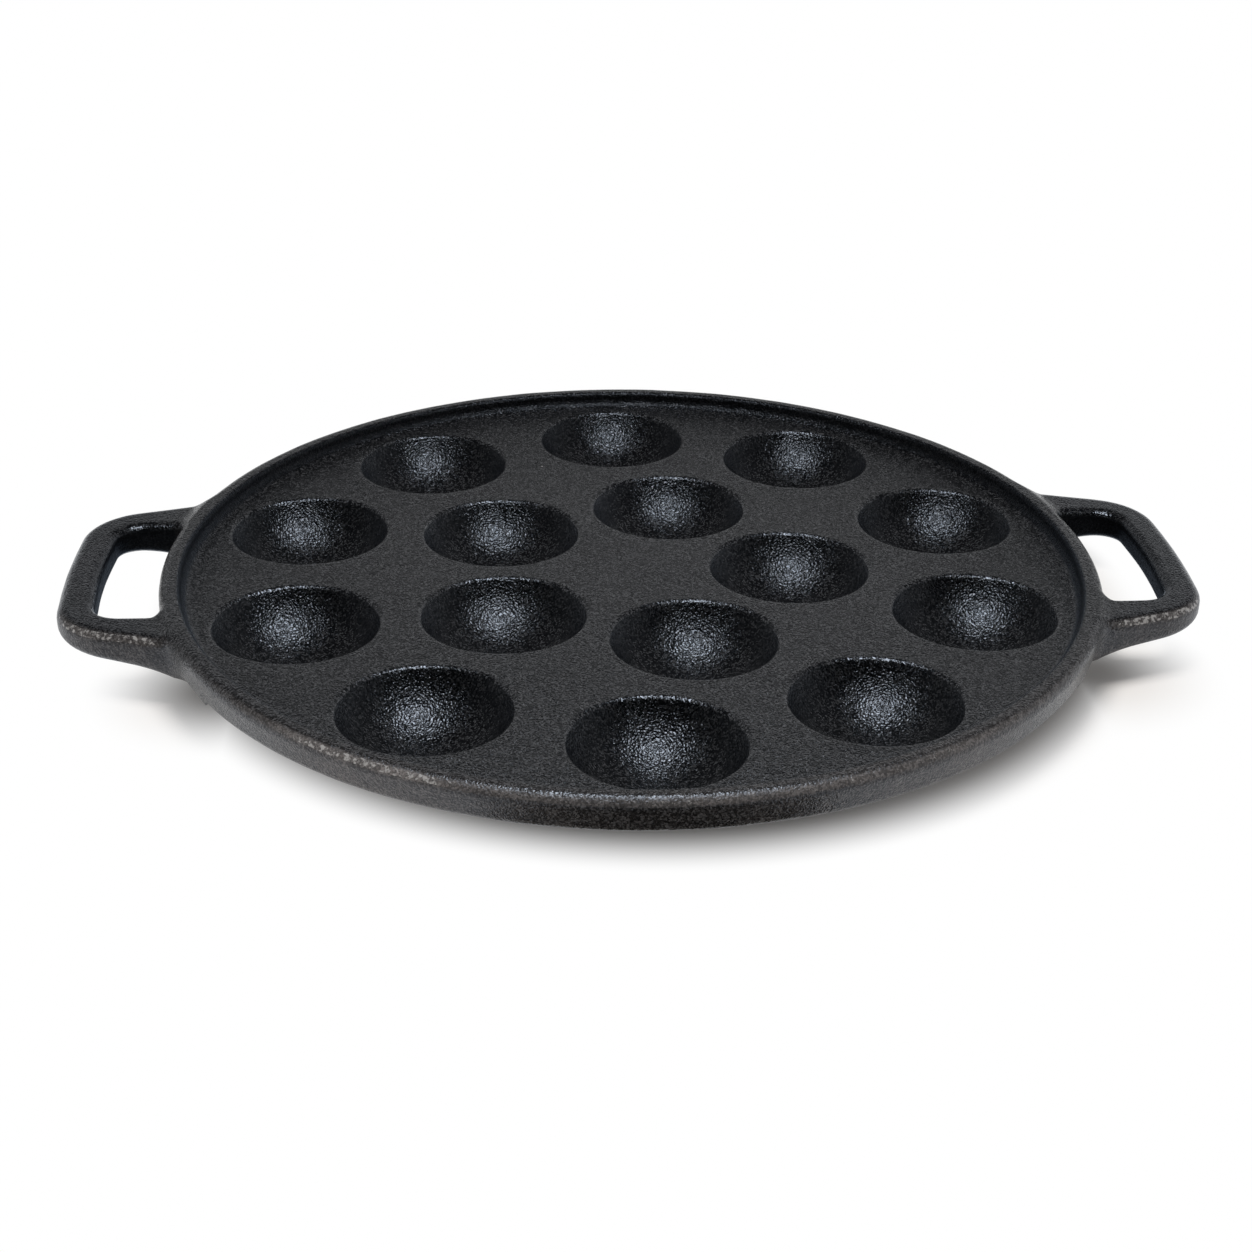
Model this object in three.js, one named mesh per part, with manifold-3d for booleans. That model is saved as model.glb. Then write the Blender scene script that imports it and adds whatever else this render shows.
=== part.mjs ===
// A cast-iron plett pan: a round griddle plate with two rings of round-bottomed cups, a raised rim and two
// loop handles. The real pan is one casting, and each region of the casting is a solid of its own here.
// Millimetres, +Z up. The origin is the centre of the pan on the surface it stands on, and the handles lie
// along X. The pan stands on the flat pads under its cups.
import * as THREE from "three";
import { mergeVertices } from "three/addons/utils/BufferGeometryUtils.js";
import Module from "manifold-3d";

const wasm = await Module();
wasm.setup();

// Cups
const innerCups = 5;
const outerCups = 10;
const cupMouth = 43.6; // diameter where the bowl would meet the deck
const cupDepth = 13; // deck to the lowest point of the bowl
const cupWall = 4;
const cupLip = 1.6; // radius of the rounded edge of the mouth
const padDiameter = 15; // flat under each cup
const bossFillet = 1.6; // between a cup and the underside of the plate
const cupGap = 2.25; // between neighbouring inner cups, under the plate
const ringGap = 1.25; // between the two rings of cups, under the plate, along a radius

// Plate and rim
const plateThickness = 5;
const edgeLand = 2.45; // from the mouths of the outer cups to the edge of the plate
const rimHeight = 4.3; // crest above the deck
const rimWidth = 5.5; // inner wall to the outside
const rimFoot = 2.6; // radius of the hollow between deck and rim
const rimFootLand = 0.4; // flat between the edge of the plate and that hollow
const crestInnerRound = 1.3;
const crestOuterRound = 2.8;
const rimBaseRound = 2;
const rimDraft = 0.8; // how far the outside of the rim leans in towards its base

// Handles
const handleReach = 26.2; // outside of the rim to the outside of the grip
const handleDrop = 1.6; // top of the handle below the crest of the rim
const rootSpan = 89.6; // over both arms, where they meet the rim
const gripSpan = 67.8; // over both arms, carried on to the grip
const fingerSpan = 54.6; // between the arms
const gripWidth = 9.4;
const gripBow = 2; // how far the middle of the grip stands out from its corners
const rootThickness = 9.7;
const gripThickness = 7.1;
const gripCorner = 18.5; // outer corners of the loop
const fingerCorner = 7.5; // inner corners of the loop
const rootFillet = 14; // between an arm and the rim, outside the loop
const fingerFillet = 6.5; // between an arm and the rim, inside the loop
const handleRound = 2.6; // along the edges of the handle
const tongueRun = 7; // how far an arm carries on in under the rim
const seam = 0.3; // clear joint between a handle and the rim

// Facets
const cupFacets = 24;
const rimFacets = 64;
const bowlSteps = 4;
const bossSteps = 3;
const mouthSteps = 2;
const roundSteps = 3;
const cornerSteps = 4;

// Worked out from the sizes above
const mouthRadius = cupMouth / 2;
const bowlRadius = (mouthRadius ** 2 + cupDepth ** 2) / (2 * cupDepth);
const shellRadius = bowlRadius + cupWall;
const padRadius = padDiameter / 2;
const padCut = shellRadius - Math.sqrt(shellRadius ** 2 - padRadius ** 2);
const deckHeight = cupDepth + cupWall - padCut;
const bowlFloor = deckHeight - cupDepth;
const bowlCentre = bowlFloor + bowlRadius;
const plateUnder = deckHeight - plateThickness;
const widthOfBall = (radius, z) => Math.sqrt(radius ** 2 - (bowlCentre - z) ** 2);
const bossEdge = widthOfBall(shellRadius + bossFillet, plateUnder - bossFillet);
const lipCentre = widthOfBall(bowlRadius + cupLip, deckHeight - cupLip);
const cupSpan = 2 * Math.max(bossEdge, lipCentre);
const innerRing = (cupSpan + cupGap) / (2 * Math.sin(Math.PI / innerCups));
const outerRing = innerRing + cupSpan + ringGap;
const plateRadius = outerRing + Math.max(bossEdge, mouthRadius + edgeLand);
const rimInside = plateRadius + rimFootLand + rimFoot;
const panRadius = rimInside + rimWidth;
const crestHeight = deckHeight + rimHeight;

const iron = { color: 0x2a2b2d, roughness: 0.55, metalness: 0.35 };
const quarter = Math.PI / 2;
const point = (x, y) => new THREE.Vector2(x, y);

// Points along an arc, both ends included.
function arc(x, y, radius, from, to, steps = roundSteps) {
  return Array.from({ length: steps + 1 }, (_, i) => {
    const angle = from + ((to - from) * i) / steps;
    return point(x + radius * Math.cos(angle), y + radius * Math.sin(angle));
  });
}

// A profile of (radius, height) points turned about Z.
function turned(profile, facets) {
  return new THREE.LatheGeometry(profile, facets).rotateX(quarter);
}

// A closed geometry as a solid that can be cut.
function solidOf(geometry) {
  const bare = geometry.clone();
  bare.deleteAttribute("normal");
  bare.deleteAttribute("uv");
  const merged = mergeVertices(bare);
  const vertProperties = merged.attributes.position.array;
  const triVerts = new Uint32Array(merged.index.array);
  return new wasm.Manifold(new wasm.Mesh({ numProp: 3, vertProperties, triVerts }));
}

// A cut solid as a geometry again.
function geometryOf(solid) {
  const { vertProperties, triVerts } = solid.getMesh();
  const geometry = new THREE.BufferGeometry();
  geometry.setAttribute("position", new THREE.BufferAttribute(vertProperties, 3));
  geometry.setIndex(new THREE.BufferAttribute(triVerts, 1));
  geometry.computeVertexNormals();
  return geometry;
}

function ironMesh(name, geometry) {
  const mesh = new THREE.Mesh(geometry, new THREE.MeshStandardMaterial(iron));
  mesh.name = name;
  return mesh;
}

// Where the cups stand: the first inner cup on the line of the handles, and the outer cups astride that line.
function cupPlaces() {
  const ring = (label, count, radius, start) =>
    Array.from({ length: count }, (_, i) => {
      const turn = start + (2 * Math.PI * i) / count;
      const number = String(i + 1).padStart(2, "0");
      return { name: `${label}_cup_${number}`, x: radius * Math.cos(turn), y: radius * Math.sin(turn), turn };
    });
  const inner = ring("inner", innerCups, innerRing, 0);
  const outer = ring("outer", outerCups, outerRing, Math.PI / outerCups);
  return [...inner, ...outer];
}

// The inside or outside of a cup's ball between two heights.
function ballArc(radius, low, high, steps = bowlSteps) {
  const angleAt = (z) => Math.asin(Math.max(-1, (z - bowlCentre) / radius));
  return arc(0, bowlCentre, radius, angleAt(low), angleAt(high), steps);
}

// The part of a cup below the plate: a bowl with a fillet at its top and a flat pad to stand on.
function cupGeometry() {
  const neck = Math.atan2(bowlCentre - plateUnder + bossFillet, -bossEdge);
  const neckHeight = plateUnder - bossFillet + bossFillet * Math.sin(neck);
  const outside = ballArc(shellRadius, 0, neckHeight, bossSteps);
  const fillet = arc(bossEdge, plateUnder - bossFillet, bossFillet, neck, quarter, mouthSteps);
  const inside = ballArc(bowlRadius, bowlFloor, plateUnder);
  return turned([point(0, 0), ...outside, ...fillet.slice(1), ...inside.reverse()], cupFacets);
}

// What a cup takes out of the plate: the upper part of its bowl, the rounded lip and the air above.
function mouthGeometry() {
  const below = plateUnder - bossFillet;
  const above = deckHeight + rimHeight;
  const lipHeight = deckHeight - cupLip;
  const lipStart = Math.atan2(bowlCentre - lipHeight, -lipCentre);
  const lip = arc(lipCentre, lipHeight, cupLip, lipStart, quarter, mouthSteps);
  const profile = [
    point(0, below),
    ...ballArc(bowlRadius, below, plateUnder, 1),
    ...ballArc(bowlRadius, plateUnder, lip[0].y, mouthSteps).slice(1),
    ...lip.slice(1),
    point(lipCentre, above),
    point(0, above),
  ];
  return turned(profile, cupFacets);
}

function plateGeometry(places) {
  const disc = turned(
    [point(0, plateUnder), point(plateRadius, plateUnder), point(plateRadius, deckHeight), point(0, deckHeight)],
    rimFacets,
  );
  const mouth = mouthGeometry();
  const pierced = places.reduce((plate, { x, y, turn }) => {
    const cut = mouth.clone().rotateZ(turn).translate(x, y, 0);
    return plate.subtract(solidOf(cut));
  }, solidOf(disc));
  return geometryOf(pierced);
}

// The outside of the rim from its base to its crest, grown by an allowance.
function rimOutside(allowance = 0) {
  const baseRadius = panRadius - rimDraft - rimBaseRound;
  const baseHeight = plateUnder + rimBaseRound;
  const crestRadius = panRadius - crestOuterRound;
  return [
    ...arc(baseRadius, baseHeight, rimBaseRound + allowance, -quarter, 0),
    ...arc(crestRadius, crestHeight - crestOuterRound, crestOuterRound + allowance, 0, quarter),
  ];
}

function rimGeometry() {
  const crest = arc(
    rimInside + crestInnerRound, crestHeight - crestInnerRound, crestInnerRound, quarter, 2 * quarter,
  );
  const foot = arc(rimInside - rimFoot, deckHeight + rimFoot, rimFoot, 0, -quarter);
  const start = point(plateRadius, plateUnder);
  const end = point(plateRadius, deckHeight);
  return turned([start, ...rimOutside(), ...crest, ...foot, end, start], rimFacets);
}

// A line of corners, some of them rounded. Its two ends are sharp.
function roundedLine(corners) {
  return corners.flatMap(({ at, radius }, i) => {
    if (!radius) return [at];
    const before = corners[i - 1].at.clone().sub(at).normalize();
    const after = corners[i + 1].at.clone().sub(at).normalize();
    const half = Math.acos(before.dot(after)) / 2;
    const centre = before.clone().add(after).setLength(radius / Math.sin(half)).add(at);
    const reach = radius / Math.tan(half);
    const first = before.setLength(reach).add(at).sub(centre).angle();
    const last = after.setLength(reach).add(at).sub(centre).angle();
    const sweep = Math.atan2(Math.sin(last - first), Math.cos(last - first));
    return arc(centre.x, centre.y, radius, first, first + sweep, cornerSteps);
  });
}

// One side of the loop seen from above, from under the rim out to the grip and back. It flares where it meets
// the rim, by an angle whose sign says which way.
function loopSide({ span, flare, rootRadius, gripX, gripY, cornerRadius }) {
  const rootRing = panRadius - handleRound;
  const onRing = (radius, angle) => point(radius * Math.cos(angle), radius * Math.sin(angle));
  const rootAngle = Math.asin(span / 2 / rootRing);
  const flareAngle = rootAngle + (flare * rootRadius) / rootRing;
  const half = [
    { at: onRing(panRadius - tongueRun, flareAngle) },
    { at: onRing(rootRing, flareAngle) },
    { at: onRing(rootRing, rootAngle), radius: rootRadius },
    { at: point(gripX - gripBow, gripY), radius: cornerRadius },
  ];
  const middle = { at: point(gripX, 0), radius: gripY ** 2 / (2 * gripBow) };
  const mirrored = half.map(({ at, radius }) => ({ at: point(at.x, -at.y), radius })).reverse();
  return roundedLine([...half, middle, ...mirrored]);
}

// How thick the handle is at a distance from the centre of the pan: it thins towards the grip, and its tongue
// under the rim rises to the underside of the plate.
function handleThickness(radius) {
  const reach = (radius - panRadius) / handleReach;
  if (reach >= 0) return rootThickness + (gripThickness - rootThickness) * Math.min(reach, 1);
  const tongue = Math.min((panRadius - radius) / tongueRun, 1);
  const rimThickness = crestHeight - handleDrop - plateUnder;
  return rootThickness + (rimThickness - rootThickness) * tongue ** 2;
}

// A slice through the handle between two points of its sides, rounded at its four edges.
function handleSlice(inner, outer) {
  const across = outer.clone().sub(inner);
  const width = across.length();
  const thickness = handleThickness(inner.clone().lerp(outer, 0.5).length());
  const round = Math.min(handleRound, 0.45 * width, 0.45 * thickness);
  const high = crestHeight - handleDrop - round;
  const low = crestHeight - handleDrop - thickness + round;
  const outline = [
    ...arc(width - round, high, round, 0, quarter),
    ...arc(round, high, round, quarter, 2 * quarter),
    ...arc(round, low, round, 2 * quarter, 3 * quarter),
    ...arc(width - round, low, round, 3 * quarter, 4 * quarter),
  ];
  return outline.map(({ x, y }) => {
    const { x: planX, y: planY } = inner.clone().addScaledVector(across, x / width);
    return new THREE.Vector3(planX, planY, y);
  });
}

// A closed skin over a row of slices that have equally many points.
function lofted(slices) {
  const size = slices[0].length;
  const index = [];
  for (let i = 0; i + 1 < slices.length; i += 1) {
    for (let j = 0; j < size; j += 1) {
      const here = i * size + j;
      const next = i * size + ((j + 1) % size);
      index.push(here, next, next + size, here, next + size, here + size);
    }
  }
  const lastSlice = (slices.length - 1) * size;
  for (let j = 1; j + 1 < size; j += 1) {
    index.push(0, j + 1, j, lastSlice, lastSlice + j, lastSlice + j + 1);
  }
  const geometry = new THREE.BufferGeometry().setFromPoints(slices.flat());
  geometry.setIndex(index);
  return geometry;
}

function handleGeometry() {
  const tip = panRadius + handleReach;
  const outer = loopSide({
    span: rootSpan, flare: 1.5, rootRadius: rootFillet,
    gripX: tip, gripY: gripSpan / 2, cornerRadius: gripCorner,
  });
  const inner = loopSide({
    span: fingerSpan, flare: -1.5, rootRadius: fingerFillet,
    gripX: tip - gripWidth, gripY: fingerSpan / 2, cornerRadius: fingerCorner,
  });
  const loop = lofted(outer.map((place, i) => handleSlice(inner[i], place)));
  const outside = rimOutside(seam);
  const rimBody = turned([point(0, outside[0].y), ...outside, point(0, outside.at(-1).y)], rimFacets);
  return geometryOf(solidOf(loop).subtract(solidOf(rimBody)));
}

const pan = new THREE.Group();
const places = cupPlaces();

pan.add(ironMesh("griddle_plate", plateGeometry(places)));
pan.add(ironMesh("rim", rimGeometry()));

const cup = cupGeometry();
for (const { name, x, y, turn } of places) {
  const mesh = ironMesh(name, cup);
  mesh.position.set(x, y, 0);
  mesh.rotation.z = turn;
  pan.add(mesh);
}

const handle = handleGeometry();
const rightHandle = ironMesh("right_handle", handle);
const leftHandle = ironMesh("left_handle", handle);
leftHandle.rotation.z = Math.PI;
pan.add(rightHandle, leftHandle);

export default pan;
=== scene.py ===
# A cast-iron plett pan: deck, fifteen cups, rim and two loop handles, in the skin of a sand casting.
# The pan's sizes are millimetres, its meshes and the studio metres. Heights and places come from the frame.
import math

import bmesh
import bpy
import numpy as np
from mathutils import Matrix, Vector
from mathutils.geometry import delaunay_2d_cdt


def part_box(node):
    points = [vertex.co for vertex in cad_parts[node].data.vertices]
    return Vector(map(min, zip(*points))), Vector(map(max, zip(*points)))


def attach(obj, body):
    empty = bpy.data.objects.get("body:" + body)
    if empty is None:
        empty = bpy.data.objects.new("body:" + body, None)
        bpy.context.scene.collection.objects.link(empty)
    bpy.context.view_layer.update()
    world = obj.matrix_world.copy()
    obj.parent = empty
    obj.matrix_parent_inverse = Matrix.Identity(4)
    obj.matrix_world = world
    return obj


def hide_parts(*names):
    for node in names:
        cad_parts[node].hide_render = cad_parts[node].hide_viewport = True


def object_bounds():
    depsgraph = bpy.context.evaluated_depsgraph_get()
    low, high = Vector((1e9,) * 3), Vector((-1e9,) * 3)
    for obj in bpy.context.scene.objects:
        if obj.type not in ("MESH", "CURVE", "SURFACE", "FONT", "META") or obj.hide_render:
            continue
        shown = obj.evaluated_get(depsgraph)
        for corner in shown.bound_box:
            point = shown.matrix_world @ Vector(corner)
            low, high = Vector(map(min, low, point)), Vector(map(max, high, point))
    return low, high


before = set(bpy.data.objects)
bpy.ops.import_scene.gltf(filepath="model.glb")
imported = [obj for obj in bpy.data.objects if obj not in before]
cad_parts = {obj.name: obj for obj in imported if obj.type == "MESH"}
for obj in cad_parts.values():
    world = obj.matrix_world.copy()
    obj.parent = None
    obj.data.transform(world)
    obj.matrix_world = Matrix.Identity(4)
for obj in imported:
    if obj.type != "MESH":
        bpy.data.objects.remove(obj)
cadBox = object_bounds()
mm = 0.001
quarter = math.pi / 2
fullTurn = 2 * math.pi
sharpFrom = math.radians(50)
print("frame loaded:", len(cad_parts), "nodes")


def boxOf(node):
    low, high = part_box(node)
    return np.array(low) / mm, np.array(high) / mm


plateLow, plateHigh = boxOf("griddle_plate")
_, rimHigh = boxOf("rim")
_, handleHigh = boxOf("right_handle")
deckZ = plateHigh[2]
underZ = plateLow[2]
crestZ = rimHigh[2]
plateRadius = plateHigh[0]
panRadius = rimHigh[0]
handleTip = handleHigh[0]
handleTop = handleHigh[2]
cupNodes = sorted(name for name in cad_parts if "_cup_" in name)


def centreOf(node):
    low, high = boxOf(node)
    return (low[:2] + high[:2]) / 2


# how far the sand mould wandered from true, the same field for every piece so the joins stay closed
castUnevenness = {"seed": 11, "waves": 36, "shortest": 7.0, "longest": 70.0, "amount": 0.05}


def castWander(points):
    rng = np.random.default_rng(castUnevenness["seed"])
    count = castUnevenness["waves"]
    span = np.log([castUnevenness["shortest"], castUnevenness["longest"]])
    length = np.exp(rng.uniform(span[0], span[1], count))
    heading = rng.normal(size=(count, 3))
    heading /= np.linalg.norm(heading, axis=1)[:, None]
    push = rng.normal(size=(count, 3))
    push /= np.linalg.norm(push, axis=1)[:, None]
    phase = rng.uniform(0, fullTurn, count)
    size = np.sqrt(length / length.mean()) / math.sqrt(count / 2) * castUnevenness["amount"]
    swing = np.sin(points @ (heading * (fullTurn / length)[:, None]).T + phase)
    return (swing * size) @ push


def insideCadBox(points):
    low = np.array(cadBox[0]) / mm
    high = np.array(cadBox[1]) / mm
    return np.clip(points, low, high)


def ironPiece(name, points, faces, marks, nodes):
    points = np.asarray(points, float)
    moved = insideCadBox(points + castWander(points))
    mesh = bpy.data.meshes.new(name)
    mesh.from_pydata((moved * mm).tolist(), [], faces)
    for label, values in marks.items():
        layer = mesh.attributes.new(label, "FLOAT", "POINT")
        layer.data.foreach_set("value", np.asarray(values, np.float32))
    work = bmesh.new()
    work.from_mesh(mesh)
    openEdges = [edge for edge in work.edges if edge.is_boundary]
    if openEdges:
        bmesh.ops.holes_fill(work, edges=openEdges, sides=0)
    bmesh.ops.recalc_face_normals(work, faces=work.faces)
    work.to_mesh(mesh)
    work.free()
    mesh.shade_smooth()
    mesh.set_sharp_from_angle(angle=sharpFrom)
    piece = bpy.data.objects.new(name, mesh)
    bpy.context.scene.collection.objects.link(piece)
    piece.data.materials.append(seasonedIron)
    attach(piece, "root")
    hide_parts(*nodes)


def arcPoints(x, z, radius, first, last, steps):
    angle = np.linspace(first, last, steps + 1)
    return np.stack([x + radius * np.cos(angle), z + radius * np.sin(angle)], 1)


# seasoned iron: black and oil-baked, with the grain of the sand and chipped shoulders, and painted light and
# shade: sheen and glints on the outside, shade in the hollows
ironSkin = {
    "pit": (0.002, 0.0021, 0.0024, 1),
    "peak": (0.058, 0.059, 0.062, 1),
    "chipAndGlint": (0.34, 0.33, 0.32, 1),
    "paintedLightPatch": (0.30, 0.268, 0.25, 1),
    "sheen": (0.75, 0.85, 1.0, 1),  # the oil film turns the reflection a little blue
    "specular": 0.50,
    "grainPerMetre": 2100.0, "grainHeight": 0.00024, "rubbedDown": 0.45,
    "sandPerMetre": 2500.0, "paleSand": 0.5, "sandFrom": 0.2, "sandTo": 0.8, "sandLeast": 0.5,
    "speckPerMetre": 95.0, "speckSize": 0.035, "speckCore": 0.4, "speckFrom": 0.75, "speckTo": 0.8,
    "lumpHeight": 0.00010, "wearFull": 0.25, "wearLift": 0.6, "chipFrom": 1.10, "chipTo": 1.18,
    "patchFrom": 0.3, "patchTo": 0.62, "patchLeast": 0.6,
    "sheenFrom": 0.3, "sheenTo": 0.7, "roughLow": 0.13, "roughHigh": 0.20,
    "shadeFrom": 0.5, "shadeRough": 0.6, "paintedLightFull": 0.5, "paintedLightRough": 0.35,
}
# cloudy patterns: how many to the metre, how many octaves, how much each octave keeps
ironClouds = {
    "lump": (500.0, 2, 0.5), "chipAndGlint": (900, 3, 0.6), "patch": (130, 4, 0.65), "sheen": (160, 4, 0.6),
}


def makeIron():
    material = bpy.data.materials.new("seasonedIron")
    material.use_nodes = True
    nodes = material.node_tree.nodes
    links = material.node_tree.links
    nodes.clear()
    out = nodes.new("ShaderNodeOutputMaterial")
    skin = nodes.new("ShaderNodeBsdfPrincipled")
    links.new(skin.outputs["BSDF"], out.inputs["Surface"])
    skin.inputs["Specular IOR Level"].default_value = ironSkin["specular"]
    skin.inputs["Specular Tint"].default_value = ironSkin["sheen"]
    place = nodes.new("ShaderNodeTexCoord")

    def noise(scale, detail, rough):
        node = nodes.new("ShaderNodeTexNoise")
        node.inputs["Scale"].default_value = scale
        node.inputs["Detail"].default_value = detail
        node.inputs["Roughness"].default_value = rough
        links.new(place.outputs["Object"], node.inputs["Vector"])
        return node.outputs["Fac"]

    def spread(value, low, high, toLow, toHigh):
        node = nodes.new("ShaderNodeMapRange")
        node.inputs["From Min"].default_value = low
        node.inputs["From Max"].default_value = high
        node.inputs["To Min"].default_value = toLow
        node.inputs["To Max"].default_value = toHigh
        links.new(value, node.inputs["Value"])
        return node.outputs["Result"]

    def joined(operation, a, b):
        node = nodes.new("ShaderNodeMath")
        node.operation = operation
        links.new(a, node.inputs[0])
        links.new(b, node.inputs[1])
        return node.outputs[0]

    def times(a, b):
        return joined("MULTIPLY", a, b)

    def plus(a, b):
        return joined("ADD", a, b)

    def painted(mask, under, over):
        node = nodes.new("ShaderNodeMix")
        node.data_type = "RGBA"
        links.new(mask, node.inputs[0])
        for socket, colour in ((node.inputs[6], under), (node.inputs[7], over)):
            if isinstance(colour, tuple):
                socket.default_value = colour
            else:
                links.new(colour, socket)
        return node.outputs[2]

    def marked(label):
        node = nodes.new("ShaderNodeAttribute")
        node.attribute_name = label
        return node.outputs["Fac"]

    def cells(scale, feature):
        node = nodes.new("ShaderNodeTexVoronoi")
        node.feature = feature
        node.inputs["Scale"].default_value = scale
        links.new(place.outputs["Object"], node.inputs["Vector"])
        chance = nodes.new("ShaderNodeSeparateColor")
        links.new(node.outputs["Color"], chance.inputs[0])
        return node.outputs["Distance"], chance.outputs[0]

    grain, _ = cells(ironSkin["grainPerMetre"], "SMOOTH_F1")
    _, grainChance = cells(ironSkin["sandPerMetre"], "F1")
    lumps = noise(*ironClouds["lump"])
    speckReach, speckChance = cells(ironSkin["speckPerMetre"], "F1")
    speckSize = ironSkin["speckSize"]
    speck = spread(speckReach, ironSkin["speckCore"] * speckSize, speckSize, 1, 0)
    speck = times(speck, spread(speckChance, ironSkin["speckFrom"], ironSkin["speckTo"], 0, 1))

    worn = marked("worn")
    paintedLight = marked("paintedLight")
    paintedShade = marked("paintedShade")
    # bright chips and painted glints where wear meets painted light, along the crest and the handles'
    # front-facing edges
    wearAndGlint = spread(times(worn, paintedLight), 0, ironSkin["wearFull"], 0, ironSkin["wearLift"])
    chipsAndGlints = spread(plus(noise(*ironClouds["chipAndGlint"]), wearAndGlint), ironSkin["chipFrom"], ironSkin["chipTo"], 0, 1)
    patches = spread(noise(*ironClouds["patch"]), ironSkin["patchFrom"], ironSkin["patchTo"],
                     ironSkin["patchLeast"], 1)
    sand = spread(grainChance, ironSkin["sandFrom"], ironSkin["sandTo"], ironSkin["sandLeast"], 1)
    # painted light: a warm grey painted where sheen and highlights fall on the outside, broken up by patches
    # and sand
    paintedLightPatch = times(times(paintedLight, patches), sand)
    colour = painted(spread(grainChance, ironSkin["paleSand"], 1, 0, 1), ironSkin["pit"], ironSkin["peak"])
    # painted shade: darker towards black where shade is painted
    colour = painted(paintedShade, colour, ironSkin["pit"])
    colour = painted(paintedLightPatch, colour, ironSkin["paintedLightPatch"])
    colour = painted(speck, colour, ironSkin["chipAndGlint"])
    colour = painted(chipsAndGlints, colour, ironSkin["chipAndGlint"])
    links.new(colour, skin.inputs["Base Color"])
    roughness = spread(noise(*ironClouds["sheen"]), ironSkin["sheenFrom"], ironSkin["sheenTo"],
                       ironSkin["roughLow"], ironSkin["roughHigh"])
    roughness = plus(roughness, spread(paintedShade, ironSkin["shadeFrom"], 1, 0, ironSkin["shadeRough"]))
    roughness = plus(roughness, spread(paintedLight, 0, ironSkin["paintedLightFull"], 0, ironSkin["paintedLightRough"]))
    links.new(roughness, skin.inputs["Roughness"])
    # painted shade also takes the reflections away: black metal has no shine
    links.new(paintedShade, skin.inputs["Metallic"])  # black with no shine of its own

    uneven = nodes.new("ShaderNodeBump")
    uneven.inputs["Distance"].default_value = ironSkin["lumpHeight"]
    links.new(lumps, uneven.inputs["Height"])
    sandy = nodes.new("ShaderNodeBump")
    sandy.invert = True
    links.new(grain, sandy.inputs["Height"])
    fresh = ironSkin["grainHeight"]
    links.new(spread(worn, 0, 1, fresh, fresh * ironSkin["rubbedDown"]), sandy.inputs["Distance"])
    links.new(uneven.outputs["Normal"], sandy.inputs["Normal"])
    links.new(sandy.outputs["Normal"], skin.inputs["Normal"])
    return material


seasonedIron = makeIron()


# cups: a ball-shaped bowl with a rounded lip, a boss under the plate and a flat pad to stand on
cupShape = {
    "mouth": 43.6, "depth": 13.0, "wall": 4.0, "lip": 1.6, "padEdge": 0.8,
    "bossFillet": 1.6, "join": 23.4, "around": 96, "bowlSteps": 22, "lipSteps": 6, "padSteps": 3,
}
# painted shade: the wall of a bowl is painted darker than its floor, from a share of the mouth outwards
cupMarks = {
    "bowlWorn": 0.22, "lipWorn": 0.5,
    "floorShade": 0.12, "wallShade": 0.33, "wallFrom": 0.65, "wallOver": 0.2,
}
onAxis = 1e-6


def cupProfile():
    mouth = cupShape["mouth"] / 2
    depth = cupShape["depth"]
    ball = (mouth ** 2 + depth ** 2) / (2 * depth)
    centreZ = deckZ - depth + ball
    shell = ball + cupShape["wall"]
    lip = cupShape["lip"]
    fillet = cupShape["bossFillet"]
    lipZ = deckZ - lip
    lipX = math.sqrt((ball + lip) ** 2 - (centreZ - lipZ) ** 2)
    lipTurn = math.atan2(centreZ - lipZ, -lipX)
    neckZ = underZ - fillet
    neckX = math.sqrt((shell + fillet) ** 2 - (centreZ - neckZ) ** 2)
    neckTurn = math.atan2(centreZ - neckZ, -neckX)
    padEdge = cupShape["padEdge"]
    padX = math.sqrt((shell - padEdge) ** 2 - (centreZ - padEdge) ** 2)
    padTurn = math.atan2(padEdge - centreZ, padX)
    bowl = arcPoints(0, centreZ, ball, -quarter, lipTurn - math.pi, cupShape["bowlSteps"])
    lipArc = arcPoints(lipX, lipZ, lip, lipTurn, quarter, cupShape["lipSteps"])
    join = cupShape["join"]
    plug = np.array([[join, deckZ], [join, underZ]])
    neck = arcPoints(neckX, neckZ, fillet, quarter, neckTurn, cupShape["lipSteps"])
    boss = arcPoints(0, centreZ, shell, neckTurn - math.pi, padTurn, cupShape["bowlSteps"] // 2)
    pad = arcPoints(padX, padEdge, padEdge, padTurn, -quarter, cupShape["padSteps"])
    profile = np.concatenate([bowl, lipArc[1:], plug, neck, boss[1:], pad[1:], [[0, 0]]])
    worn = np.zeros(len(profile))
    worn[:len(bowl)] = cupMarks["bowlWorn"]
    worn[len(bowl):len(bowl) + len(lipArc) - 1] = cupMarks["lipWorn"]
    paintedShade = np.zeros(len(profile))
    upWall = np.clip((bowl[:, 0] - cupMarks["wallFrom"] * mouth) / (cupMarks["wallOver"] * mouth), 0, 1)
    paintedShade[:len(bowl)] = cupMarks["floorShade"] + cupMarks["wallShade"] * upWall
    return profile, worn, paintedShade


def turned(profile, centre, around):
    angle = np.arange(around) * (fullTurn / around)
    points, rings, source = [], [], []
    for row, (radius, z) in enumerate(profile):
        start = len(points)
        if radius < onAxis:
            points.append((centre[0], centre[1], z))
            source.append(row)
            rings.append([start] * around)
            continue
        for turn in angle:
            points.append((centre[0] + radius * math.cos(turn), centre[1] + radius * math.sin(turn), z))
            source.append(row)
        rings.append(list(range(start, start + around)))
    faces = []
    for low, high in zip(rings, rings[1:]):
        for i in range(around):
            j = (i + 1) % around
            corners = [low[i], low[j], high[j], high[i]]
            faces.append(list(dict.fromkeys(corners)))
    return np.array(points), source, faces


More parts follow.
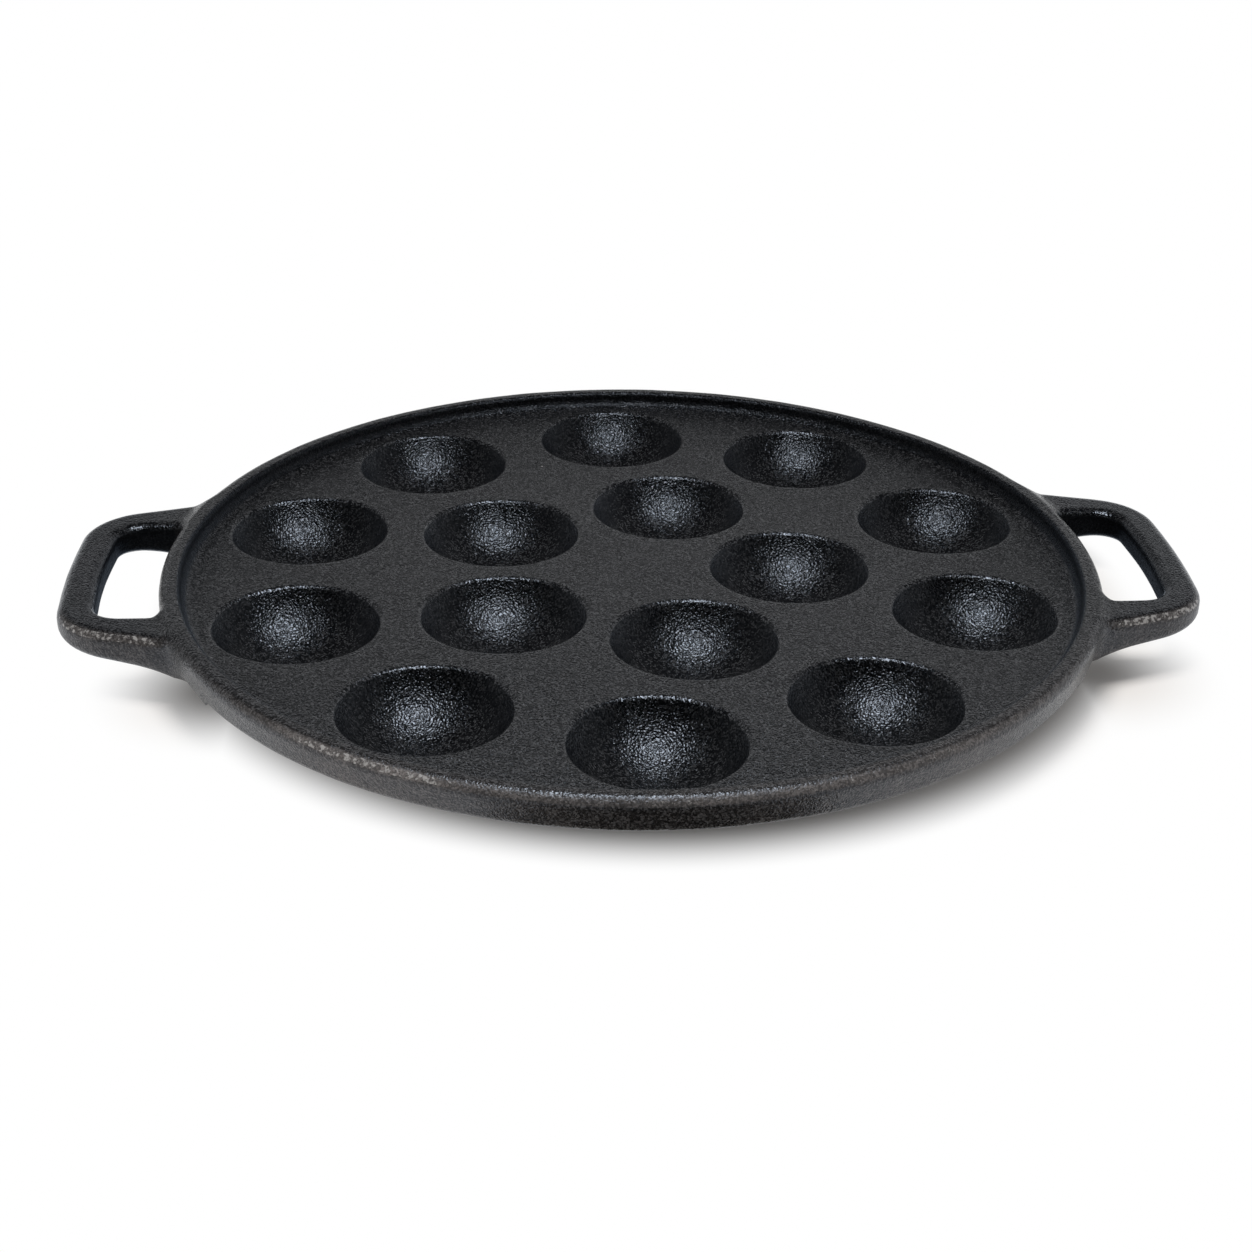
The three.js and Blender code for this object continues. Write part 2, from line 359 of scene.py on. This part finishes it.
profile, profileWorn, profileShade = cupProfile()
for node in cupNodes:
    ring, _, number = node.partition("_cup_")
    points, source, faces = turned(profile, centreOf(node), cupShape["around"])
    marks = {"worn": profileWorn[source], "paintedLight": np.zeros(len(points)), "paintedShade": profileShade[source]}
    ironPiece(f"{ring}Cup{number}", points, faces, marks, [node])
print("cups cast:", len(cupNodes))


# rim and handles: one field of distances, so that every join has the casting's fillet
rimShape = {
    "width": 5.5, "footRound": 2.6, "crestInner": 1.3, "crestOuter": 2.8, "baseRound": 2.0,
    "draft": 0.8, "slabReach": 1.5, "snap": 0.3,
}
handleShape = {
    "rootSpan": 88.0, "gripSpan": 67.8, "fingerSpan": 54.6, "gripWidth": 9.4, "gripBow": 2.0,
    "rootThickness": 9.7, "gripThickness": 7.1, "gripCorner": 18.5, "fingerCorner": 7.5,
    "rootFillet": 11.0, "fingerFillet": 5.0, "topRound": 2.9, "lowRound": 2.5, "sunk": 2.2,
    "webRound": 3.0, "rootWeb": 1.4, "webReach": 0.35, "flare": 1.5, "splitAt": 133.0,
}
# the net that the surface is drawn on, and where it has to look for a handle
castNet = {
    "turns": 960, "step": 0.5, "spareRings": 4, "layersBelow": 20, "layersAbove": 11, "nudge": 0.02,
    "handleHalf": 66, "handleFrom": 6, "farOff": 60.0,
    "leastSlope": 0.2, "longestMove": 0.4, "relaxShare": 0.4, "settles": 3, "relaxes": 4,
}


def roundUnion(a, b, radius):
    corner = np.hypot(np.maximum(radius - a, 0), np.maximum(radius - b, 0))
    return np.maximum(radius, np.minimum(a, b)) - corner


def roundOverlap(a, b, radius):
    corner = np.hypot(np.maximum(radius + a, 0), np.maximum(radius + b, 0))
    return np.minimum(-radius, np.maximum(a, b)) + corner


def rimDistance(radius, z):
    inside = panRadius - rimShape["width"]
    wallHigh = crestZ - rimShape["crestOuter"]
    wallLow = underZ + rimShape["baseRound"]
    lean = np.clip((wallHigh - z) / (wallHigh - wallLow), 0, 1) * rimShape["draft"]
    bead = roundOverlap(radius - panRadius + lean, z - crestZ, rimShape["crestOuter"])
    bead = roundOverlap(bead, inside - radius, rimShape["crestInner"])
    slab = np.maximum(z - deckZ, radius - inside - rimShape["slabReach"])
    body = roundUnion(bead, slab, rimShape["footRound"])
    return roundOverlap(body, underZ - z, rimShape["baseRound"])


def roundedLine(corners, steps=10):
    line = []
    for i, (at, radius) in enumerate(corners):
        if not radius:
            line.append(at)
            continue
        before = (corners[i - 1][0] - at) / np.linalg.norm(corners[i - 1][0] - at)
        after = (corners[i + 1][0] - at) / np.linalg.norm(corners[i + 1][0] - at)
        half = math.acos(np.clip(before @ after, -1, 1)) / 2
        middle = before + after
        centre = at + middle / np.linalg.norm(middle) * radius / math.sin(half)
        first = at + before * radius / math.tan(half) - centre
        last = at + after * radius / math.tan(half) - centre
        start = math.atan2(first[1], first[0])
        sweep = math.atan2(last[1], last[0]) - start
        sweep = math.atan2(math.sin(sweep), math.cos(sweep))
        line.extend(arcPoints(centre[0], centre[1], radius, start, start + sweep, steps))
    return line


def loopSide(span, flare, rootRadius, gripX, gripY, cornerRadius):
    rootRing = panRadius - handleShape["sunk"]

    def onRing(angle):
        return np.array([rootRing * math.cos(angle), rootRing * math.sin(angle)])

    rootTurn = math.asin(span / 2 / rootRing)
    flareTurn = rootTurn + flare * rootRadius / rootRing
    bow = handleShape["gripBow"]
    half = [
        (onRing(flareTurn), 0), (onRing(rootTurn), rootRadius),
        (np.array([gripX - bow, gripY]), cornerRadius),
    ]
    middle = (np.array([gripX, 0.0]), gripY ** 2 / (2 * bow))
    mirrored = [(at * (1, -1), radius) for at, radius in reversed(half)]
    return roundedLine([*half, middle, *mirrored])


def loopPlan():
    flare = handleShape["flare"]
    outer = loopSide(handleShape["rootSpan"], flare, handleShape["rootFillet"],
                     handleTip, handleShape["gripSpan"] / 2, handleShape["gripCorner"])
    inner = loopSide(handleShape["fingerSpan"], -flare, handleShape["fingerFillet"],
                     handleTip - handleShape["gripWidth"], handleShape["fingerSpan"] / 2,
                     handleShape["fingerCorner"])
    return np.array([*outer, *reversed(inner)])


handlePlan = loopPlan()


def planDistance(x, y):
    start = handlePlan
    along = np.roll(handlePlan, -1, axis=0) - start
    best = np.full(x.shape, np.inf)
    within = np.zeros(x.shape, bool)
    for (startX, startY), (runX, runY) in zip(start, along):
        fromX = x - startX
        fromY = y - startY
        share = np.clip((fromX * runX + fromY * runY) / (runX ** 2 + runY ** 2), 0, 1)
        best = np.minimum(best, (fromX - share * runX) ** 2 + (fromY - share * runY) ** 2)
        crosses = (startY > y) != (startY + runY > y)
        if runY:
            within ^= crosses & (fromX < fromY * runX / runY)
    best = np.sqrt(best)
    return np.where(within, -best, best)


def handleEdges(plan, radius, z):
    reach = np.clip((radius - panRadius) / (handleTip - panRadius), 0, 1)
    taper = handleShape["gripThickness"] - handleShape["rootThickness"]
    thick = handleShape["rootThickness"] + taper * reach
    thick = thick + handleShape["rootWeb"] * np.clip(1 - reach / handleShape["webReach"], 0, 1) ** 2
    middle = handleTop - thick / 2
    edge = np.where(z > middle, handleShape["topRound"], handleShape["lowRound"])
    return plan + edge, np.abs(z - middle) - thick / 2 + edge, edge


def handleDistance(plan, radius, z):
    side, level, edge = handleEdges(plan, radius, z)
    beyond = np.hypot(np.maximum(side, 0), np.maximum(level, 0))
    return np.minimum(np.maximum(side, level), 0) + beyond - edge


def nearHandle(y, radius):
    return (np.abs(y) < castNet["handleHalf"]) & (radius > panRadius - castNet["handleFrom"])


def castDistance(points):
    x, y, z = points.T
    radius = np.hypot(x, y)
    distance = rimDistance(radius, z)
    near = nearHandle(y, radius)
    plan = planDistance(np.abs(x[near]), y[near])
    loop = handleDistance(plan, radius[near], z[near])
    distance[near] = roundUnion(distance[near], loop, handleShape["webRound"])
    return distance


def castNormal(points):
    nudge = castNet["nudge"]
    slope = np.empty_like(points)
    for axis in range(3):
        step = np.zeros(3)
        step[axis] = nudge
        slope[:, axis] = (castDistance(points + step) - castDistance(points - step)) / (2 * nudge)
    return slope


# the surface is netted on rings and spokes, so its quads run along the rim
def netSurface():
    step = castNet["step"]
    turns = castNet["turns"]
    ringCount = int((handleTip - plateRadius) / step) + castNet["spareRings"]
    radii = plateRadius + step * (np.arange(ringCount) - 0.5)
    heights = deckZ + step * (np.arange(-castNet["layersBelow"], castNet["layersAbove"]) + 0.5)
    angle = np.arange(turns) * (fullTurn / turns)
    x = np.cos(angle)[:, None] * radii
    y = np.sin(angle)[:, None] * radii
    plan = np.full(x.shape, castNet["farOff"])
    near = np.abs(y) < castNet["handleHalf"]
    plan[near] = planDistance(np.abs(x[near]), y[near])
    section = rimDistance(radii[:, None], heights[None, :])
    field = np.broadcast_to(section, (turns, len(radii), len(heights)))
    loop = handleDistance(plan[:, :, None], radii[None, :, None], heights[None, None, :])
    field = roundUnion(field, loop, handleShape["webRound"])
    field[:, 0, :] = 1.0  # the first ring counts as outside, which closes the net at the deck's edge

    inside = field < 0
    cells = (turns, len(radii) - 1, len(heights) - 1)
    total = np.zeros((*cells, 3))
    hits = np.zeros(cells)
    quads = []

    def shifted(block, turn):
        return np.roll(block, -turn, axis=0)

    for axis in range(3):
        if axis == 0:
            here, there = field, shifted(field, 1)
        elif axis == 1:
            here, there = field[:, :-1], field[:, 1:]
        else:
            here, there = field[:, :, :-1], field[:, :, 1:]
        crossed = (here < 0) != (there < 0)
        share = np.where(crossed, here / np.where(crossed, here - there, 1), 0)
        others = [a for a in range(3) if a != axis]
        for first in (0, 1):
            for second in (0, 1):
                offset = np.zeros(3)
                offset[others[0]] = first
                offset[others[1]] = second
                hit, part = crossed, share
                for a, move in zip(others, (first, second)):
                    if a == 0:
                        hit, part = shifted(hit, move), shifted(part, move)
                    else:
                        pick = [slice(None)] * 3
                        pick[a] = slice(move, hit.shape[a] - 1 + move)
                        hit, part = hit[tuple(pick)], part[tuple(pick)]
                for a in range(3):
                    total[..., a] += np.where(hit, part if a == axis else offset[a], 0)
                hits += hit

    active = hits > 0
    number = np.full(cells, -1)
    number[active] = np.arange(active.sum())
    where = np.argwhere(active)
    spot = where + total[active] / hits[active][:, None]
    turn = spot[:, 0] * (fullTurn / turns)
    radius = np.interp(spot[:, 1], np.arange(len(radii)), radii)
    z = np.interp(spot[:, 2], np.arange(len(heights)), heights)
    points = np.stack([radius * np.cos(turn), radius * np.sin(turn), z], 1)

    def quadsOf(crossing, outward, corners):
        j, i, k = np.nonzero(crossing)
        ids = [number[(j + dj) % turns, i + di, k + dk] for dj, di, dk in corners]
        block = np.stack(ids, 1)
        flip = ~outward[j, i, k]
        block[flip] = block[flip][:, ::-1]
        quads.append(block)

    nextIn = shifted(inside, 1)
    quadsOf(inside != nextIn, inside, [(0, -1, -1), (0, -1, 0), (0, 0, 0), (0, 0, -1)])
    quadsOf(inside[:, :-1] != inside[:, 1:], inside[:, :-1],
            [(-1, 0, -1), (0, 0, -1), (0, 0, 0), (-1, 0, 0)])
    quadsOf(inside[:, :, :-1] != inside[:, :, 1:], inside[:, :, :-1],
            [(-1, -1, 0), (-1, 0, 0), (0, 0, 0), (0, -1, 0)])
    return points, np.concatenate(quads), where


def settle(points, free, times):
    for _ in range(times):
        slope = castNormal(points[free])
        size = (slope ** 2).sum(1)
        move = castDistance(points[free]) / np.maximum(size, castNet["leastSlope"])
        longest = castNet["longestMove"]
        points[free] -= slope * np.clip(move, -longest, longest)[:, None]


def relax(points, quads, free, times):
    ends = np.concatenate([quads[:, [0, 1]], quads[:, [1, 2]], quads[:, [2, 3]], quads[:, [3, 0]]])
    for _ in range(times):
        total = np.zeros_like(points)
        count = np.zeros(len(points))
        np.add.at(total, ends[:, 0], points[ends[:, 1]])
        np.add.at(total, ends[:, 1], points[ends[:, 0]])
        np.add.at(count, ends[:, 0], 1)
        np.add.at(count, ends[:, 1], 1)
        middle = total / count[:, None]
        points[free] += castNet["relaxShare"] * (middle[free] - points[free])
        settle(points, free, 1)


def rise(value, start, over):
    return np.clip((value - start) / over, 0, 1)


def fall(value, start, over):
    return np.clip((start - value) / over, 0, 1)


# where the iron is worn, and where sheen, highlights and shade are painted: lengths in millimetres, angles in
# degrees from the front, tilts as the upward part of the normal, pairs as where a soft step starts and how
# far it runs
rimMarks = {
    "crestDrop": 2.4, "crestInside": 4.4, "crestSoft": 0.8, "crestWorn": 0.5,
    "sideSheenAt": [4, 36, 50, 66], "sideSheen": [0.07, 0.33, 0.10, 0.05], "sideSheenLean": 0.20,
    "footHeight": 2.4, "footSoft": 1.6, "footSheen": 0.05, "outwardGain": 4,
    "chippedAt": [-54, -42, -30, -20], "chipped": [0.0, 0.3, 0.3, 0.0],
    "crestHighlight": 0.09, "crestLean": 0.05, "shoulderHighlight": 0.28, "frontEnd": 75, "frontSoft": 45,
    "cornerInside": 4, "cornerDepth": 0.5, "cornerTilt": (0.99, 0.2), "cornerShade": 0.65,
}
handleMarks = {
    "from": 0.3, "over": 6, "wornFrom": 0.6, "edgeGain": 2, "outsideMargin": 2,
    "uprightTop": (0.88, 0.42), "uprightLow": (-0.8, 0.3), "flankSheen": 0.22,
    "edgeTop": (0.97, 0.15), "edgeLow": (0.1, 0.3), "nearGain": 2, "nearHighlight": 0.34,
    "loopTilt": (0.8, 0.4), "loopShade": 0.9, "paintedShade": 0.15,
}


def castMarks(points):
    x, y, z = points.T
    radius = np.hypot(x, y)
    plan = np.full(len(points), castNet["farOff"])
    near = nearHandle(y, radius)
    plan[near] = planDistance(np.abs(x[near]), y[near])
    side, level, edge = handleEdges(plan, radius, z)
    normal = castNormal(points)
    normal /= np.linalg.norm(normal, axis=1)[:, None]
    tilt = normal[:, 2]
    outward = (normal[:, :2] * points[:, :2]).sum(1) / radius
    sideways = np.degrees(np.arctan2(x, -y))
    fromFront = np.abs(sideways)
    toRight = x / radius
    pastRim = radius - panRadius
    onHandle = rise(pastRim, handleMarks["from"], handleMarks["over"])
    offRim = pastRim > handleMarks["wornFrom"]

    soft = rimMarks["crestSoft"]
    crestWorn = rise(z - crestZ, -rimMarks["crestDrop"], soft) * rise(pastRim, -rimMarks["crestInside"], soft)
    edgeWorn = np.clip(np.minimum(side, level) / edge * handleMarks["edgeGain"], 0, 1)
    edgeWorn *= z > handleTop - edge
    worn = np.where(offRim, edgeWorn, rimMarks["crestWorn"] * crestWorn)

    notBelow = rise(tilt, *handleMarks["uprightLow"])
    upright = fall(tilt, *handleMarks["uprightTop"]) * notBelow
    # shoulders of edges that face the front, where highlights are painted
    nearEdge = fall(tilt, *handleMarks["edgeTop"]) * rise(tilt, *handleMarks["edgeLow"])
    nearEdge *= np.clip(-handleMarks["nearGain"] * normal[:, 1], 0, 1)
    outside = np.where(np.abs(y) > handleShape["fingerSpan"] / 2 + handleMarks["outsideMargin"], 1, 0)
    outside = np.maximum(outside, radius > handleTip - handleShape["gripWidth"] / 2)

    # painted reflection on the outer wall: dark at the front, lighter to the sides and at the foot, less on
    # the right
    sideSheen = np.interp(fromFront, rimMarks["sideSheenAt"], rimMarks["sideSheen"])
    sideSheen *= 1.0 - rimMarks["sideSheenLean"] * toRight
    foot = fall(z, underZ + rimMarks["footHeight"], rimMarks["footSoft"])
    wall = upright * np.clip(outward * rimMarks["outwardGain"], 0, 1)
    wall *= np.clip(rimMarks["footSheen"] * foot + sideSheen, 0, 1)
    # painted highlight on the crest and the front-facing shoulder, lighter to the right and fading away from
    # the front; the chips at the front left are wear
    chipped = np.interp(sideways, rimMarks["chippedAt"], rimMarks["chipped"])
    crestLightAndChips = (rimMarks["crestHighlight"] + rimMarks["crestLean"] * toRight) * crestWorn
    crestLightAndChips += (rimMarks["shoulderHighlight"] + chipped) * nearEdge
    crestLightAndChips *= fall(fromFront, rimMarks["frontEnd"], rimMarks["frontSoft"])
    # painted sheen on the handles' outer sides and a painted highlight on their front-facing top edges
    handleLight = np.maximum(handleMarks["flankSheen"] * upright, handleMarks["nearHighlight"] * nearEdge) * outside
    paintedLight = np.maximum(wall, crestLightAndChips) * (1 - onHandle) + handleLight * onHandle

    # painted shade in the rim's inner corner and inside the finger loops, and a little over the handles
    inCorner = fall(tilt, *rimMarks["cornerTilt"]) * (pastRim < -rimMarks["cornerInside"])
    inCorner *= z > deckZ - rimMarks["cornerDepth"]
    inLoop = fall(tilt, *handleMarks["loopTilt"]) * notBelow * (1 - outside) * offRim
    paintedShade = np.maximum(rimMarks["cornerShade"] * inCorner, handleMarks["loopShade"] * inLoop)
    paintedShade = np.maximum(paintedShade, handleMarks["paintedShade"] * onHandle)
    return {"worn": worn, "paintedLight": paintedLight, "paintedShade": paintedShade}


def makeRimAndHandles():
    points, quads, cell = netSurface()
    atDeck = cell[:, 1] == 0
    free = ~atDeck
    settle(points, free, castNet["settles"])
    relax(points, quads, free, castNet["relaxes"])
    spoke = cell[atDeck, 0] * (fullTurn / castNet["turns"])
    points[atDeck, 0] = plateRadius * np.cos(spoke)
    points[atDeck, 1] = plateRadius * np.sin(spoke)
    height = points[atDeck, 2]
    height = np.where(height > deckZ - rimShape["snap"], deckZ, height)
    points[atDeck, 2] = np.where(height < underZ + rimShape["snap"], underZ, height)
    marks = castMarks(points)

    splitCell = int((handleShape["splitAt"] - plateRadius) / castNet["step"])
    ringOfFace = cell[quads, 1].min(1)
    sideOfFace = points[quads, 0].mean(1)
    parts = {
        "panRim": (ringOfFace < splitCell, ["rim"]),
        "rightHandle": ((ringOfFace >= splitCell) & (sideOfFace > 0), ["right_handle"]),
        "leftHandle": ((ringOfFace >= splitCell) & (sideOfFace < 0), ["left_handle"]),
    }
    for name, (chosen, nodes) in parts.items():
        used, faces = np.unique(quads[chosen], return_inverse=True)
        faces = faces.reshape(-1, 4)
        usedMarks = {label: values[used] for label, values in marks.items()}
        ironPiece(name, points[used], faces.tolist(), usedMarks, nodes)
        print("netted:", name, len(used), "points")


makeRimAndHandles()


# deck: the flat of the griddle, pierced where the cups plug in
deckShape = {"grid": 2.6, "rowShare": 0.866, "clear": 1.3, "holeShare": 0.9994, "tolerance": 1e-6}


def makeDeck():
    centres = [centreOf(node) for node in cupNodes]
    edgeTurn = np.arange(castNet["turns"]) * (fullTurn / castNet["turns"])
    holeTurn = np.arange(cupShape["around"]) * (fullTurn / cupShape["around"])
    loops = [np.stack([np.cos(edgeTurn), np.sin(edgeTurn)], 1) * plateRadius]
    for centre in centres:
        loops.append(centre + np.stack([np.cos(holeTurn), np.sin(holeTurn)], 1) * cupShape["join"])
    grid = deckShape["grid"]
    rows = int(plateRadius / grid) + 1
    inner = []
    for row in range(-rows, rows + 1):
        for column in range(-rows, rows + 1):
            spot = np.array([(column + 0.5 * (row % 2)) * grid, row * grid * deckShape["rowShare"]])
            clear = min(np.linalg.norm(spot - centre) for centre in centres) - cupShape["join"]
            if clear > deckShape["clear"] and np.linalg.norm(spot) < plateRadius - deckShape["clear"]:
                inner.append(spot)
    flat = np.concatenate([*loops, inner])
    edges = []
    start = 0
    for loop in loops:
        count = len(loop)
        edges += [(start + i, start + (i + 1) % count) for i in range(count)]
        start += count
    made = delaunay_2d_cdt([Vector(spot) for spot in flat], edges, [], 0, deckShape["tolerance"])
    flat = np.array([tuple(spot) for spot in made[0]])
    triangles = []
    for face in made[2]:
        middle = flat[list(face)].mean(0)
        inDisc = np.linalg.norm(middle) < plateRadius
        fromCup = min(np.linalg.norm(middle - centre) for centre in centres)
        if inDisc and fromCup > cupShape["join"] * deckShape["holeShare"]:
            triangles.append(list(face))
    count = len(flat)
    top = np.column_stack([flat, np.full(count, deckZ)])
    low = np.column_stack([flat, np.full(count, underZ)])
    faces = triangles + [[i + count for i in reversed(face)] for face in triangles]
    sides = {}
    for face in triangles:
        for a, b in zip(face, face[1:] + face[:1]):
            sides[(a, b)] = True
    faces += [[b, a, a + count, b + count] for a, b in sides if (b, a) not in sides]
    points = np.concatenate([top, low])
    unmarked = np.zeros(len(points))
    marks = {"worn": unmarked, "paintedLight": unmarked, "paintedShade": unmarked}
    ironPiece("griddleDeck", points, faces, marks, ["griddle_plate"])
    print("deck laid:", count, "points")


makeDeck()


# studio: a white table, pale walls, a soft box overhead, fill from the sides, and a black flag and card in
# front that show only in reflections
studio = {
    "floorColour": (0.9, 0.855, 0.81, 1), "floorRough": 0.9, "floorSize": 16.0,
    "paperLift": 0.04, "shadowShift": 0.006,
    "panShadow": ((0.0, 0.0145, 0.0), 0.119, 0.139), "gripShadow": ((0.114, -0.034, 0.0), 0.002, 0.036),
    "boxPlace": (0.0, -0.085, 0.45), "boxSize": 0.175, "boxPower": 1.75,
    "fillPlace": (0.95, 0.10, 0.11), "fillSize": (1.0, 0.20),
    "fillPower": {"rightFill": 2.8, "leftFill": 4.6},
    "felt": (0.004, 0.004, 0.004, 1),
    "flagPlace": (0.0, -0.80, 0.55), "flagSize": (2.2, 1.1),
    "cardPlace": (0.0, -0.215, 0.0005), "cardSize": (0.09, 0.19),
    "wall": (0.51, 0.51, 0.51, 1), "ceiling": (0.05, 0.05, 0.053, 1), "wallTop": 0.75, "wallLean": 0.4,
}


def sheetOf(name, width, height):
    mesh = bpy.data.meshes.new(name)
    x, y = width / 2, height / 2
    corners = [(-x, -y, 0), (x, -y, 0), (x, y, 0), (-x, y, 0)]
    mesh.from_pydata(corners, [], [(0, 1, 2, 3)])
    sheet = bpy.data.objects.new(name, mesh)
    bpy.context.scene.collection.objects.link(sheet)
    return sheet


def makePaper():
    paper = bpy.data.materials.new("whitePaper")
    paper.use_nodes = True
    nodes = paper.node_tree.nodes
    links = paper.node_tree.links
    diffuse = nodes["Principled BSDF"]
    diffuse.inputs["Base Color"].default_value = studio["floorColour"]
    diffuse.inputs["Roughness"].default_value = studio["floorRough"]
    diffuse.inputs["Specular IOR Level"].default_value = 0.0
    glow = nodes.new("ShaderNodeEmission")
    glow.inputs["Strength"].default_value = 1.0

    def sums(operation, *values):
        node = nodes.new("ShaderNodeMath")
        node.operation = operation
        for socket, value in zip(node.inputs, values):
            if isinstance(value, float):
                socket.default_value = value
            else:
                links.new(value, socket)
        return node.outputs[0]

    path = nodes.new("ShaderNodeLightPath")
    seen = sums("MAXIMUM", path.outputs["Is Camera Ray"], path.outputs["Is Glossy Ray"])
    seen = sums("MAXIMUM", seen, path.outputs["Is Transmission Ray"])
    place = nodes.new("ShaderNodeTexCoord")
    split = nodes.new("ShaderNodeSeparateXYZ")
    links.new(place.outputs["Object"], split.inputs[0])
    spot = nodes.new("ShaderNodeCombineXYZ")
    eitherSide = sums("ABSOLUTE", sums("SUBTRACT", split.outputs["X"], studio["shadowShift"]))
    links.new(eitherSide, spot.inputs["X"])
    links.new(split.outputs["Y"], spot.inputs["Y"])

    # painted light: the paper glows white away from the pan, over the pan's cast shadow, and shows its own
    # shading where the shadows lie, lifted a little by the same glow
    def clearOf(centre, dark, white):
        away = nodes.new("ShaderNodeVectorMath")
        away.operation = "DISTANCE"
        away.inputs[1].default_value = centre
        links.new(spot.outputs[0], away.inputs[0])
        fade = nodes.new("ShaderNodeMapRange")
        fade.interpolation_type = "SMOOTHSTEP"
        fade.inputs["From Min"].default_value = dark
        fade.inputs["From Max"].default_value = white
        fade.inputs["To Min"].default_value = studio["paperLift"]
        links.new(away.outputs["Value"], fade.inputs["Value"])
        return fade.outputs["Result"]

    clear = sums("MINIMUM", clearOf(*studio["panShadow"]), clearOf(*studio["gripShadow"]))
    mix = nodes.new("ShaderNodeMixShader")
    links.new(sums("MULTIPLY", seen, clear), mix.inputs[0])
    links.new(diffuse.outputs["BSDF"], mix.inputs[1])
    links.new(glow.outputs["Emission"], mix.inputs[2])
    links.new(mix.outputs["Shader"], nodes["Material Output"].inputs["Surface"])
    return paper


def softLamp(name, place, size, power):
    lamp = bpy.data.lights.new(name, "AREA")
    lamp.shape = "RECTANGLE"
    lamp.size, lamp.size_y = size
    lamp.energy = power
    lampObject = bpy.data.objects.new(name, lamp)
    lampObject.location = place
    lampObject.rotation_euler = (-Vector(place)).to_track_quat("-Z", "Y").to_euler()
    lampObject.visible_camera = False
    bpy.context.scene.collection.objects.link(lampObject)
    return lampObject


def makeStudio():
    floor = sheetOf("floor", studio["floorSize"], studio["floorSize"])
    floor.data.materials.append(makePaper())

    felt = bpy.data.materials.new("blackFelt")
    felt.use_nodes = True
    nap = felt.node_tree.nodes["Principled BSDF"]
    nap.inputs["Base Color"].default_value = studio["felt"]
    nap.inputs["Specular IOR Level"].default_value = 0.0
    flag = sheetOf("blackFlag", *studio["flagSize"])
    flag.location = studio["flagPlace"]
    flag.rotation_euler = (quarter, 0, 0)
    card = sheetOf("blackCard", *studio["cardSize"])
    card.location = studio["cardPlace"]
    # the flag and the card are seen only in reflections, where they paint dark reflections; the card lies in
    # front of the pan to darken its front wall
    for sheet in (flag, card):
        sheet.data.materials.append(felt)
        sheet.visible_camera = False
        sheet.visible_diffuse = False
        sheet.visible_shadow = False

    softLamp("softBox", studio["boxPlace"], (studio["boxSize"],) * 2, studio["boxPower"])
    across, along, up = studio["fillPlace"]
    for name, side in (("rightFill", 1), ("leftFill", -1)):
        fill = softLamp(name, (side * across, along, up), studio["fillSize"], studio["fillPower"][name])
        fill.visible_glossy = False

    world = bpy.data.worlds.new("room")
    bpy.context.scene.world = world
    world.use_nodes = True
    nodes = world.node_tree.nodes
    links = world.node_tree.links
    heading = nodes.new("ShaderNodeTexCoord")
    split = nodes.new("ShaderNodeSeparateXYZ")
    links.new(heading.outputs["Generated"], split.inputs[0])
    height = nodes.new("ShaderNodeMapRange")
    height.interpolation_type = "SMOOTHSTEP"
    height.inputs["From Max"].default_value = studio["wallTop"]
    links.new(split.outputs["Z"], height.inputs["Value"])
    shade = nodes.new("ShaderNodeMix")
    shade.data_type = "RGBA"
    shade.inputs[6].default_value = studio["wall"]
    shade.inputs[7].default_value = studio["ceiling"]
    links.new(height.outputs["Result"], shade.inputs[0])
    links.new(shade.outputs[2], nodes["Background"].inputs["Color"])
    lean = nodes.new("ShaderNodeMath")  # the room is brighter towards the right
    lean.operation = "MULTIPLY_ADD"
    lean.inputs[1].default_value = studio["wallLean"]
    lean.inputs[2].default_value = 1.0
    links.new(split.outputs["X"], lean.inputs[0])
    links.new(lean.outputs[0], nodes["Background"].inputs["Strength"])
    print("studio lit")


makeStudio()

# the photograph's camera
portrait = {
    "place": (-0.038711, -0.535746, 0.274821),
    "right": (0.997906, -0.063533, 0.012122),
    "up": (0.018295, 0.457026, 0.889267),
    "lens": 63.33, "sensor": 36.0,
}


def makeCamera():
    data = bpy.data.cameras.new("portrait")
    data.lens = portrait["lens"]
    data.sensor_width = portrait["sensor"]
    camera = bpy.data.objects.new("portrait", data)
    bpy.context.scene.collection.objects.link(camera)
    right = Vector(portrait["right"])
    up = Vector(portrait["up"])
    back = right.cross(up)
    turn = Matrix((right, up, back)).transposed().to_4x4()
    camera.matrix_world = Matrix.Translation(portrait["place"]) @ turn
    bpy.context.scene.camera = camera


makeCamera()
bpy.context.scene.view_settings.view_transform = "Standard"
